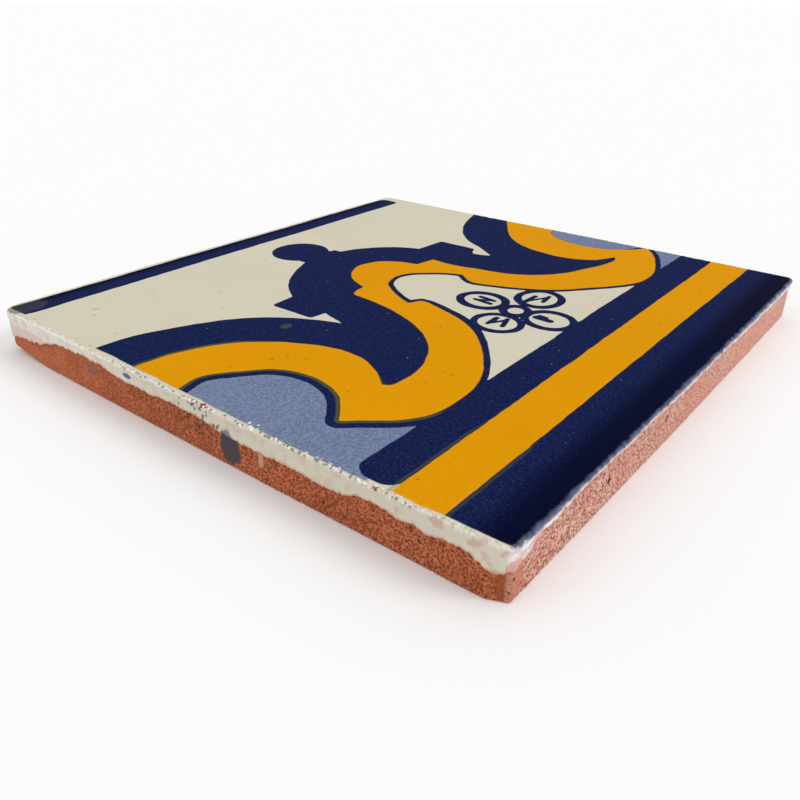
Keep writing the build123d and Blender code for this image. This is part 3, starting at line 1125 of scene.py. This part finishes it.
# %% The floor
floor_half = 4.0
floor_drop = 0.02 * MM
corners = [(x * floor_half, y * floor_half, -floor_drop) for x, y in ((-1, -1), (1, -1), (1, 1), (-1, 1))]
floor_mesh = bpy.data.meshes.new("floor")
floor_mesh.from_pydata(corners, [], [(0, 1, 2, 3)])
floor = bpy.data.objects.new("floor", floor_mesh)
bpy.context.scene.collection.objects.link(floor)
white_floor = bpy.data.materials.new("white_floor")
white_floor.use_nodes = True
tree = white_floor.node_tree
surface = tree.nodes["Principled BSDF"]
seen = add(tree, "ShaderNodeLightPath").outputs["Is Camera Ray"]
feed(tree, surface.inputs["Base Color"], mix(tree, seen, (0.75, 0.75, 0.75, 1), (1, 1, 1, 1)))
surface.inputs["Roughness"].default_value = 1.0
surface.inputs["Specular IOR Level"].default_value = 0.0
floor_mesh.materials.append(white_floor)
print("the floor is", 2 * floor_half, "m wide")

# %% The light
sky_level = 0.82
sun_level = 0.9
sun_width = 25
towards_sun = (0.35, -0.75, 0.55)
world = bpy.data.worlds.new("studio")
bpy.context.scene.world = world
world.use_nodes = True
tree = world.node_tree
tree.nodes.clear()
path = add(tree, "ShaderNodeLightPath")
seen = calc(tree, "MAXIMUM", path.outputs["Is Camera Ray"], path.outputs["Is Glossy Ray"])
seen = calc(tree, "MAXIMUM", seen, path.outputs["Is Transmission Ray"])
light = add(tree, "ShaderNodeBackground", {"Color": (1, 1, 1, 1), "Strength": sky_level})
white = add(tree, "ShaderNodeBackground", {"Color": (1, 1, 1, 1), "Strength": 1.0})
either = add(tree, "ShaderNodeMixShader", {0: seen, 1: light.outputs[0], 2: white.outputs[0]})
add(tree, "ShaderNodeOutputWorld", {"Surface": either.outputs[0]})

sun = bpy.data.lights.new("sun", "SUN")
sun.energy = sun_level
sun.angle = math.radians(sun_width)
sun_object = bpy.data.objects.new("sun", sun)
sun_object.rotation_euler = Vector(towards_sun).to_track_quat("Z", "Y").to_euler()
bpy.context.scene.collection.objects.link(sun_object)
print("sun", sun_level, "and sky", sky_level)

# %% The camera
frame_pixels = 800
sensor_width = 36
focal_pixels = 736.07
centre_pixels = (410.29, 421.84)
camera_place = (-103.35, -79.26, 55.72)
heading, pitch, roll = 38.26, -30.26, 0.28
camera_data = bpy.data.cameras.new("camera")
camera_data.sensor_width = sensor_width
camera_data.lens = sensor_width * focal_pixels / frame_pixels
camera_data.shift_x = (frame_pixels / 2 - centre_pixels[0]) / frame_pixels
camera_data.shift_y = (centre_pixels[1] - frame_pixels / 2) / frame_pixels
camera_data.clip_start = 0.005
camera = bpy.data.objects.new("camera", camera_data)
turns = (("Z", heading - 90), ("X", 90 + pitch), ("Z", roll))
turned = [Matrix.Rotation(math.radians(angle), 3, axis) for axis, angle in turns]
camera.rotation_euler = (turned[0] @ turned[1] @ turned[2]).to_euler()
camera.location = [c * MM for c in camera_place]
bpy.context.scene.collection.objects.link(camera)
bpy.context.scene.camera = camera
bpy.context.scene.view_settings.view_transform = "Standard"
print("the camera stands at", camera_place, "mm, with a lens of", round(camera_data.lens, 1), "mm")
